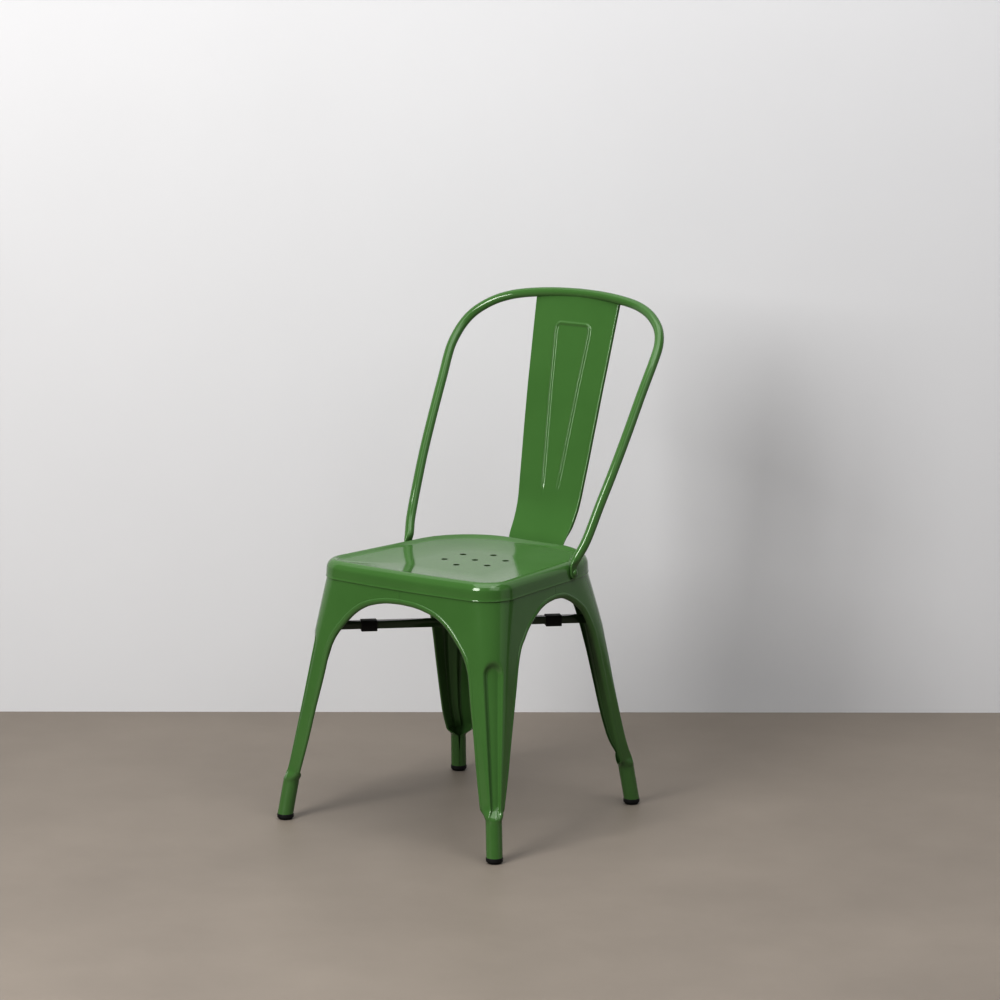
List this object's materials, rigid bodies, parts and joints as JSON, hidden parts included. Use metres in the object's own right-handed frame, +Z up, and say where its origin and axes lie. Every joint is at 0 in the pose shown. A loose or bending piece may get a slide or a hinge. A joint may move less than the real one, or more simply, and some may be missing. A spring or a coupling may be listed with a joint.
{
  "type": "stacking chair",
  "caption": "Armless bistro chair in painted pressed steel: dished seat, four splayed channel legs, bent tube back hoop and a ribbed sheet splat; it stacks on itself.",
  "frame": {"origin": "on the floor, under the middle of the overall length and width", "axes": "+Z up from the floor; +X towards the sitter's left; -Y towards the front of the chair"},
  "size_m": [0.4538, 0.5394, 0.8409],
  "materials": {
    "green_paint": "gloss powder coat over steel sheet",
    "pad_plastic": "matt black moulded pad",
    "foot_rubber": "matt black rubber",
    "zinc_steel": "zinc plated"
  },
  "bodies": {
    "root": {"seat_pan": "green_paint", "front_left_leg": "green_paint", "front_right_leg": "green_paint", "rear_left_leg": "green_paint", "rear_right_leg": "green_paint", "cross_brace_a": "green_paint", "cross_brace_b": "green_paint", "pad_front_left": "pad_plastic", "pad_front_right": "pad_plastic", "pad_rear_left": "pad_plastic", "pad_rear_right": "pad_plastic", "back_hoop": "green_paint", "back_splat": "green_paint", "foot_front_left": "foot_rubber", "foot_front_right": "foot_rubber", "foot_rear_left": "foot_rubber", "foot_rear_right": "foot_rubber", "hoop_bolt_left": "green_paint", "hoop_bolt_right": "green_paint", "splat_bolt_left": "green_paint", "splat_bolt_right": "green_paint", "fixing_nuts": "zinc_steel", "fixing_washers": "zinc_steel"}
  },
  "joints": []
}
